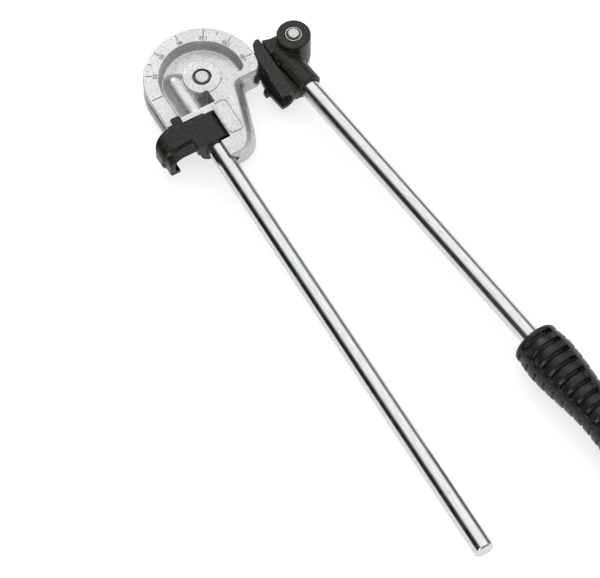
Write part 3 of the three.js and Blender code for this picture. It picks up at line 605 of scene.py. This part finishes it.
def bright_steel():
    """Turned steel end of a pin, with fine rough marks."""
    look = settings("finish")
    material, tree, shader = new_material(
        "bright steel", look.steel, metallic=0.85, roughness=0.34)
    grain = add_noise(tree, scale=1500, detail=4)
    dark, pale = shades(look.steel, 0.7, 1.08)
    marks = add_ramp(tree, grain, [(0.36, dark), (0.56, pale)])
    tree.links.new(marks, shader.inputs["Base Color"])
    add_bump(tree, shader, grain, strength=0.3, distance=0.05 * MM)
    return material


def dark_steel():
    """Oiled spring steel."""
    look = settings("finish")
    material, tree, shader = new_material(
        "dark steel", look.dark_steel, metallic=0.9, roughness=0.4)
    grain = add_noise(tree, scale=2000, detail=3)
    add_bump(tree, shader, grain, strength=0.2, distance=0.03 * MM)
    return material


def mottled_black(name, colour, roughness, coarse, fine, relief, stretch=(1, 1, 1)):
    """A black finish with mottling, and a relief that breaks up its gloss."""
    material, tree, shader = new_material(name, colour, metallic=0.0, roughness=roughness)
    shader.inputs["Specular IOR Level"].default_value = 0.27
    dark, middle, pale = shades(colour, 0.2, 0.9, 3)
    mottle = add_ramp(tree, add_noise(tree, scale=coarse, detail=5, stretch=stretch), [
        (0.34, dark), (0.5, middle), (0.7, pale)])
    tree.links.new(mottle, shader.inputs["Base Color"])
    patches = add_noise(tree, scale=coarse / 3, detail=3)
    vary_roughness(tree, shader, patches, low=roughness - 0.09, high=roughness + 0.09)
    grain = add_noise(tree, scale=fine, detail=5, stretch=stretch)
    add_bump(tree, shader, grain, strength=0.7, distance=relief)
    return material


def black_paint():
    """Black coat over a rough casting."""
    return mottled_black(
        "black paint", settings("finish").black_paint,
        roughness=0.36, coarse=1100, fine=750, relief=0.36 * MM)


def brushed_black():
    """The head's coat made darker as painted shade on the hook, over a casting that was dressed with a file,
    crosswise to the lever.
    """
    # Painted shade: the head's black coat at six tenths of its colour, so the hook reads darker as if in shade
    darker = shades(settings("finish").black_paint, 0.6)[0]
    return mottled_black(
        "brushed black with painted shade", darker,
        roughness=0.34, coarse=1000, fine=600, relief=0.34 * MM, stretch=(3, 1, 1))


def black_plastic():
    """Moulded plastic with a fine matt grain."""
    return mottled_black(
        "black plastic", settings("finish").black_plastic,
        roughness=0.42, coarse=900, fine=900, relief=0.16 * MM)


def rubber():
    """Rubber with a fine grain."""
    return mottled_black(
        "rubber", settings("finish").rubber,
        roughness=0.33, coarse=1000, fine=900, relief=0.2 * MM)


def bronze():
    """Sintered bronze with a fine grain."""
    look = settings("finish")
    material, tree, shader = new_material("bronze", look.bronze, metallic=1.0, roughness=0.4)
    grain = add_noise(tree, scale=2500, detail=3)
    add_bump(tree, shader, grain, strength=0.25, distance=0.03 * MM)
    return material


def ink():
    """Dark fill of the dial marks, partly worn away."""
    look = settings("finish")
    material, tree, shader = new_material("ink", look.ink, metallic=0.0, roughness=0.7)
    dark, pale = shades(look.ink, 0.6, 2.2)
    worn = add_ramp(tree, add_noise(tree, scale=1300, detail=3), [(0.4, dark), (0.62, pale)])
    tree.links.new(worn, shader.inputs["Base Color"])
    return material


MAKERS = {
    "cast_aluminium": cast_aluminium,
    "lever_steel": zinc_steel,
    "link_steel": zinc_steel,
    "bright_steel": bright_steel,
    "dark_steel": dark_steel,
    "black_casting": black_paint,
    "black_plastic": black_plastic,
    "bronze": bronze,
    "grip_rubber": rubber,
    "brushed_black": brushed_black,
    "splayed_zinc": splayed_zinc,
    "ink": ink,
}
made_materials = {}


def material_for(look):
    """The material of a finish, made when it is first asked for."""
    if look not in made_materials:
        made_materials[look] = MAKERS[look]()
    return made_materials[look]


# Operators, one for each piece or group of like pieces

class BENDER_OT_former(bpy.types.Operator):
    """Dress the die-cast former"""
    bl_idname = "bender.former"
    bl_label = "Former"

    def execute(self, context):
        dress_moulded("former_casting", settings("edges").cast_grain, "cast_aluminium")
        return {"FINISHED"}


class BENDER_OT_field(bpy.types.Operator):
    """Put the raised border round the bare field on the arm, sunk as deep as it stands out"""
    bl_idname = "bender.field"
    bl_label = "Field border"

    def execute(self, context):
        field = settings("field")
        low, high = Vector(field.low), Vector(field.high)
        size, middle = high - low, (low + high) / 2
        foot = dial_height() - field.height
        bpy.ops.object.select_all(action="DESELECT")
        bpy.ops.mesh.primitive_plane_add(size=1, location=(*middle, foot))
        piece = bpy.context.object
        piece.name = "field_border"
        piece.scale = (*size, 1)
        bpy.ops.object.transform_apply(location=True, rotation=True, scale=True)
        bpy.ops.object.mode_set(mode="EDIT")
        bpy.ops.mesh.select_all(action="SELECT")
        bpy.ops.mesh.bevel(offset=field.corner, segments=field.corner_steps, affect="VERTICES")
        bpy.ops.mesh.select_all(action="SELECT")
        bpy.ops.mesh.inset(thickness=field.rim, depth=0)
        bpy.ops.mesh.delete(type="FACE")
        bpy.ops.mesh.select_all(action="SELECT")
        rise = 2 * field.height
        bpy.ops.mesh.extrude_region_move(TRANSFORM_OT_translate={"value": (0, 0, rise)})
        bpy.ops.mesh.select_all(action="SELECT")
        bpy.ops.mesh.normals_make_consistent(inside=False)
        bpy.ops.object.mode_set(mode="OBJECT")
        rounded(piece)
        finish(piece, "cast_aluminium", body="former")
        return {"FINISHED"}


class BENDER_OT_dial_marks(bpy.types.Operator):
    """Put the degree marks and their numerals on the dial"""
    bl_idname = "bender.dial_marks"
    bl_label = "Dial marks"

    def execute(self, context):
        dial = settings("dial")
        parts = [self.tick(dial, math.pi, dial.zero_inner, dial.zero_outer)]
        for degrees in range(dial.step, dial.last + 1, dial.step):
            around = self.around(dial, degrees)
            parts.append(self.tick(dial, around, dial.inner, dial.outer))
            parts.append(self.numeral(dial, around, str(degrees)))
        for degrees in dial.short_at:
            around = self.around(dial, degrees)
            parts.append(self.tick(dial, around, dial.short_inner, dial.outer))
        only(parts[0])
        for part in parts:
            part.select_set(True)
        bpy.ops.object.join()
        marks = bpy.context.object
        marks.name = "dial_marks"
        finish(marks, "dark_steel", body="former", look="ink")
        return {"FINISHED"}

    def around(self, dial, degrees):
        """Angle from +X at which a mark stands."""
        return math.pi - math.radians(degrees) + dial.offset

    def place(self, radius, around):
        """A place on the dial's face."""
        return (radius * math.cos(around), radius * math.sin(around), dial_height())

    def tick(self, dial, around, inner, outer):
        """A line from one distance from the bend axis to another."""
        place = self.place((outer + inner) / 2, around)
        bpy.ops.mesh.primitive_cube_add(size=1, location=place, rotation=(0, 0, around))
        bpy.context.object.scale = (outer - inner, dial.line, 2 * dial.proud)
        bpy.ops.object.transform_apply(location=True, rotation=True, scale=True)
        return bpy.context.object

    def numeral(self, dial, around, digits):
        """A number whose top points to the bend axis."""
        place = self.place(dial.numeral_radius, around)
        bpy.ops.object.text_add(location=place, rotation=(0, 0, around + RIGHT_ANGLE))
        text = bpy.context.object
        text.data.body = digits
        text.data.size = dial.numeral_height
        text.data.offset = dial.stroke
        text.data.align_x = "CENTER"
        text.data.align_y = "CENTER"
        text.data.extrude = dial.proud
        bpy.ops.object.convert(target="MESH")
        bpy.ops.object.transform_apply(location=True, rotation=True, scale=True)
        return bpy.context.object


class BENDER_OT_levers(bpy.types.Operator):
    """Turn both levers and cut the room for their pins"""
    bl_idname = "bender.levers"
    bl_label = "Levers"

    def execute(self, context):
        bars = (
            ("fixed_lever", lengthwise("fixed_lever"), "lever_lock_pin", lengthwise, "lever_steel"),
            ("moving_lever", along_moving_lever(), "moving_lever_pin", upright, "splayed_zinc"),
        )
        chamfer = settings("levers").chamfer
        for node, place, pin, pin_placed, look in bars:
            radius, low, high = spans(node, place)
            piece = turned("dressed_" + node, [
                (radius - chamfer, low),
                (radius, low + chamfer),
                (radius, high - chamfer),
                (radius - chamfer, high),
            ])
            rounded(piece)
            put(piece, place)
            cut(piece, hole_for(pin, pin_placed(pin)))
            finish(piece, "lever_steel", node, look=look)
        return {"FINISHED"}


class BENDER_OT_link(bpy.types.Operator):
    """Dress the link below the former"""
    bl_idname = "bender.link"
    bl_label = "Link"

    def execute(self, context):
        piece = copy_of("link_plate")
        rounded(piece)
        finish(piece, "link_steel", "link_plate")
        return {"FINISHED"}


class BENDER_OT_pins(bpy.types.Operator):
    """Turn the pins, washers, rings, bushes and rivets"""
    bl_idname = "bender.pins"
    bl_label = "Pins and washers"

    def execute(self, context):
        rounds = (
            ("pivot_pin", upright, "bright_steel"),
            ("head_pin", upright, "bright_steel"),
            ("head_bush", upright, "bright_steel"),
            ("pivot_washer", upright, "link_steel"),
            ("head_washer", upright, "link_steel"),
            ("pivot_retaining_ring", upright, "dark_steel"),
            ("head_retaining_ring", upright, "dark_steel"),
            ("pivot_bush", upright, "bronze"),
            ("moving_lever_pin", upright, "dark_steel"),
            ("lever_lock_pin", lengthwise, "dark_steel"),
            ("shoe_rivet_lower", crosswise, "link_steel"),
            ("shoe_rivet_upper", crosswise, "link_steel"),
        )
        for node, placed, slot in rounds:
            finish(turned_copy(node, placed(node)), slot, node)
        return {"FINISHED"}


class BENDER_OT_hook(bpy.types.Operator):
    """Dress the hook bracket"""
    bl_idname = "bender.hook"
    bl_label = "Hook bracket"

    def execute(self, context):
        grain = settings("edges").coat_grain
        # The hook's coat is painted darker than the head's, as painted shade
        dress_moulded("hook_bracket", grain, "black_casting", look="brushed_black")
        return {"FINISHED"}


class BENDER_OT_head(bpy.types.Operator):
    """Dress the head casting"""
    bl_idname = "bender.head"
    bl_label = "Head casting"

    def execute(self, context):
        dress_moulded("head_casting", settings("edges").coat_grain, "black_casting")
        return {"FINISHED"}


class BENDER_OT_shoe(bpy.types.Operator):
    """Dress the slide shoe"""
    bl_idname = "bender.shoe"
    bl_label = "Slide shoe"

    def execute(self, context):
        dress_moulded("slide_shoe", settings("edges").plastic_grain, "black_plastic")
        return {"FINISHED"}


class BENDER_OT_grip(bpy.types.Operator):
    """Model the rubber grip with its pressed grooves"""
    bl_idname = "bender.grip"
    bl_label = "Grip"

    def execute(self, context):
        form = settings("grip")
        place = along_moving_lever()
        _, start, end = spans("grip", place)
        bore = spans("moving_lever", place)[0] + settings("levers").pin_gap
        piece = turned("dressed_grip", self.outline(form, end - start))
        self.scoop_bands(piece, form)
        self.press_grooves(piece, form)
        self.sink_bore(piece, form, bore, end - start)
        moulded(piece, settings("edges").rubber_grain)
        put(piece, place @ Matrix.Translation((0, 0, start)))
        finish(piece, "grip_rubber", "grip")
        return {"FINISHED"}

    def outline(self, form, whole):
        """The grip's radii from its mouth to its end, with rings in each band and at its edges."""
        rounding = form.shoulder - form.start
        end = whole - form.end_round
        places = [form.start + rounding * step / MOUTH_RINGS for step in range(MOUTH_RINGS)]
        places += [at for at in self.band_rings(form) if form.shoulder <= at < end]
        places += [whole - form.end_round * (1 - part) for part in END_RINGS]
        return [(self.radius(form, at, whole), at) for at in places]

    def band_rings(self, form):
        """Rings of the bands before, between and after the grooves, and how far each drops."""
        band = form.pitch - form.groove
        rings = {}
        for index in range(form.count + 1):
            foot = form.first - band + index * form.pitch
            inside = 0 < index < form.count
            for part in BAND_RINGS:
                rings[foot + band * part] = form.scoop * (1 - part) if inside else 0
        return rings

    def scoop_bands(self, piece, form):
        """Draws each band of the upper side in, most where it starts."""
        for at, drop in self.band_rings(form).items():
            if drop > 0:
                ring = selected(piece, "VERT", lambda point: self.on_ring(form, point.co, at))
                ratio = 1 - drop / ring[0].co.xy.length
                bpy.ops.transform.resize(value=(ratio, ratio, 1), center_override=(0, 0, at))
                bpy.ops.object.mode_set(mode="OBJECT")

    def on_ring(self, form, point, at):
        """Whether a point lies in the upper half of the ring at a distance from the mouth."""
        return abs(point.z - at) < TINY and self.on_top(form, point)

    def on_top(self, form, point):
        """Whether a point lies in the grip's upper side, between the two ribs."""
        around = math.atan2(point.y, point.x) - RIGHT_ANGLE
        return -form.right_rib < around < form.left_rib and self.off_rib(form, point) > form.rib

    def off_rib(self, form, point):
        """Distance round the grip from a point to the nearer rib."""
        around = math.atan2(point.y, point.x)
        ribs = (RIGHT_ANGLE - form.right_rib, RIGHT_ANGLE + form.left_rib)
        return min(abs(math.remainder(around - rib, math.tau)) for rib in ribs) * point.xy.length

    def radius(self, form, at, whole):
        """Radius of the grip's skin at a distance from its mouth."""
        knots = (
            (form.shoulder, form.shoulder_radius),
            (form.bulge, form.bulge_radius),
            (form.waist, form.waist_radius),
            (form.palm, form.palm_radius),
            (whole - form.end_round, form.end_radius + form.end_round),
        )
        if at < form.shoulder:
            rise = math.sin(RIGHT_ANGLE * (at - form.start) / (form.shoulder - form.start))
            return form.mouth + (form.shoulder_radius - form.mouth) * rise
        for (low, low_radius), (high, high_radius) in zip(knots, knots[1:]):
            if at <= high:
                part = (at - low) / (high - low)
                return low_radius + (high_radius - low_radius) * part * part * (3 - 2 * part)
        past = (at - whole + form.end_round) / form.end_round
        return form.end_radius + form.end_round * math.sqrt(max(0, 1 - past * past))

    def press_grooves(self, piece, form):
        """Sinks the grooves between the two ribs, deep on top and shallow in the palm's side."""
        for on_top, depth in ((True, form.depth), (False, form.back_depth)):
            selected(piece, "FACE", lambda face: self.in_groove(form, face.center, on_top))
            bpy.ops.mesh.extrude_region_shrink_fatten(TRANSFORM_OT_shrink_fatten={"value": -depth})
            bpy.ops.object.mode_set(mode="OBJECT")

    def in_groove(self, form, point, on_top):
        """Whether a point lies in a groove of the upper side, or else of the palm's side."""
        at = point.z - form.first
        index = math.floor(at / form.pitch)
        if not (0 <= index < form.count and at - index * form.pitch < form.groove):
            return False
        return self.off_rib(form, point) > form.rib and self.on_top(form, point) == on_top

    def sink_bore(self, piece, form, bore, whole):
        """Opens the mouth and sinks the bore for the lever."""
        depth = whole - form.floor - form.start
        selected(piece, "FACE", lambda face: abs(face.center.z - form.start) < TINY)
        bpy.ops.mesh.inset(thickness=form.mouth - bore, depth=0)
        bpy.ops.mesh.extrude_region_move(TRANSFORM_OT_translate={"value": (0, 0, depth)})
        bpy.ops.object.mode_set(mode="OBJECT")


class BENDER_OT_stage(bpy.types.Operator):
    """Set the camera, the pale floor and the soft lamps"""
    bl_idname = "bender.stage"
    bl_label = "Studio"

    def execute(self, context):
        studio = settings("studio")
        scene = context.scene
        scene.view_settings.view_transform = "Standard"
        self.camera(studio, scene)
        self.floor(studio)
        self.world(studio, scene)
        aim = studio.lamp_aim
        self.lamp("rim lamp", studio.rim_place, aim, studio.rim_size, studio.rim_power)
        self.lamp("front lamp", studio.front_place, aim, studio.front_size, studio.front_power)
        return {"FINISHED"}

    def camera(self, studio, scene):
        """The camera at the photograph's angle of view."""
        bpy.ops.object.camera_add(
            location=studio.camera_place, rotation=(studio.camera_tilt, 0, studio.camera_turn))
        camera = bpy.context.object
        camera.data.sensor_width = 36
        camera.data.lens = studio.lens
        camera.data.clip_end = 20
        scene.camera = camera

    def floor(self, studio):
        """A floor that is white where it is seen, and that keeps the object's shadow."""
        bpy.ops.mesh.primitive_plane_add(size=studio.floor, location=(0, 0, cad_box[0].z))
        floor = bpy.context.object
        floor.name = "floor"
        material, tree, shader = new_material(
            "floor", grey(studio.floor_shade), metallic=0.0, roughness=0.9)
        nodes, links = tree.nodes, tree.links
        glow = nodes.new("ShaderNodeEmission")
        glow.inputs["Strength"].default_value = studio.floor_glow
        add = nodes.new("ShaderNodeAddShader")
        mix = nodes.new("ShaderNodeMixShader")
        links.new(shader.outputs[0], add.inputs[0])
        links.new(glow.outputs[0], add.inputs[1])
        links.new(self.seen_directly(tree), mix.inputs[0])
        links.new(shader.outputs[0], mix.inputs[1])
        links.new(add.outputs[0], mix.inputs[2])
        links.new(mix.outputs[0], nodes["Material Output"].inputs["Surface"])
        floor.data.materials.append(material)

    def seen_directly(self, tree):
        """1 for a ray from the camera, and for one that metal or glass sends on."""
        path = tree.nodes.new("ShaderNodeLightPath")
        total = path.outputs["Is Camera Ray"]
        for name in ("Is Glossy Ray", "Is Transmission Ray"):
            add = tree.nodes.new("ShaderNodeMath")
            add.operation = "MAXIMUM"
            tree.links.new(total, add.inputs[0])
            tree.links.new(path.outputs[name], add.inputs[1])
            total = add.outputs[0]
        return total

    def world(self, studio, scene):
        """A broad soft box overhead in a dim room, whose right side and front are a little lighter."""
        world = bpy.data.worlds.new("studio")
        scene.world = world
        world.use_nodes = True
        tree = world.node_tree
        place = tree.nodes.new("ShaderNodeTexCoord").outputs["Generated"]
        lean = tree.nodes.new("ShaderNodeVectorMath")
        lean.operation = "DOT_PRODUCT"
        lean.inputs[1].default_value = studio.box_lean
        tree.links.new(place, lean.inputs[0])
        split = tree.nodes.new("ShaderNodeSeparateXYZ")
        tree.links.new(place, split.inputs[0])
        soft_box = add_ramp(
            tree, lean.outputs["Value"], [(at, grey(value)) for at, value in SOFT_BOX_EDGE])
        sides = add_ramp(tree, split.outputs["X"], [
            (0, grey(studio.room_left)), (ROOM_RIGHT_END, grey(studio.room_right))])
        front = add_ramp(tree, split.outputs["Y"], [
            (0, grey(studio.room_front)), (ROOM_FRONT_END, grey(0))])
        room = mixed(tree, "ADD", sides, front)
        background = tree.nodes["Background"]
        background.inputs["Strength"].default_value = studio.sky
        tree.links.new(mixed(tree, "ADD", soft_box, room), background.inputs["Color"])

    def lamp(self, name, place, aim, size, power):
        """A square lamp that points at a place on the object."""
        direction = Vector(aim) - Vector(place)
        turn = direction.to_track_quat("-Z", "Y").to_euler()
        bpy.ops.object.light_add(type="AREA", location=place, rotation=turn)
        lamp = bpy.context.object
        lamp.name = name
        lamp.data.size = size
        lamp.data.energy = power


# Panel, registration and the whole model

class BENDER_PT_panel(bpy.types.Panel):
    """Lists the pieces of the tube bender"""
    bl_idname = "BENDER_PT_panel"
    bl_label = "Tube bender"
    bl_space_type = "VIEW_3D"
    bl_region_type = "UI"
    bl_category = "Bender"

    def draw(self, context):
        for operator in PIECES:
            self.layout.operator(operator.bl_idname)
        for group in SETTINGS:
            box = self.layout.box()
            box.label(text=group)
            for name in SETTINGS[group].__annotations__:
                box.prop(settings(group), name)


PIECES = (
    BENDER_OT_stage,
    BENDER_OT_former,
    BENDER_OT_field,
    BENDER_OT_dial_marks,
    BENDER_OT_levers,
    BENDER_OT_link,
    BENDER_OT_pins,
    BENDER_OT_hook,
    BENDER_OT_head,
    BENDER_OT_shoe,
    BENDER_OT_grip,
)
SETTINGS = {
    "finish": FinishSettings,
    "edges": EdgeSettings,
    "levers": LeverSettings,
    "grip": GripSettings,
    "dial": DialSettings,
    "field": FieldSettings,
    "studio": StudioSettings,
}


def register():
    for group, kind in SETTINGS.items():
        bpy.utils.register_class(kind)
        setattr(bpy.types.Scene, "bender_" + group, bpy.props.PointerProperty(type=kind))
    for kind in (*PIECES, BENDER_PT_panel):
        bpy.utils.register_class(kind)


def unregister():
    for kind in (BENDER_PT_panel, *reversed(PIECES)):
        bpy.utils.unregister_class(kind)
    for group, kind in reversed(SETTINGS.items()):
        delattr(bpy.types.Scene, "bender_" + group)
        bpy.utils.unregister_class(kind)


def main():
    """Makes all pieces in order."""
    register()
    bpy.ops.object.select_all(action="DESELECT")
    bpy.ops.bender.stage()
    bpy.ops.bender.former()
    bpy.ops.bender.field()
    bpy.ops.bender.dial_marks()
    bpy.ops.bender.levers()
    bpy.ops.bender.link()
    bpy.ops.bender.pins()
    bpy.ops.bender.hook()
    bpy.ops.bender.head()
    bpy.ops.bender.shoe()
    bpy.ops.bender.grip()


if __name__ == "__main__":
    main()
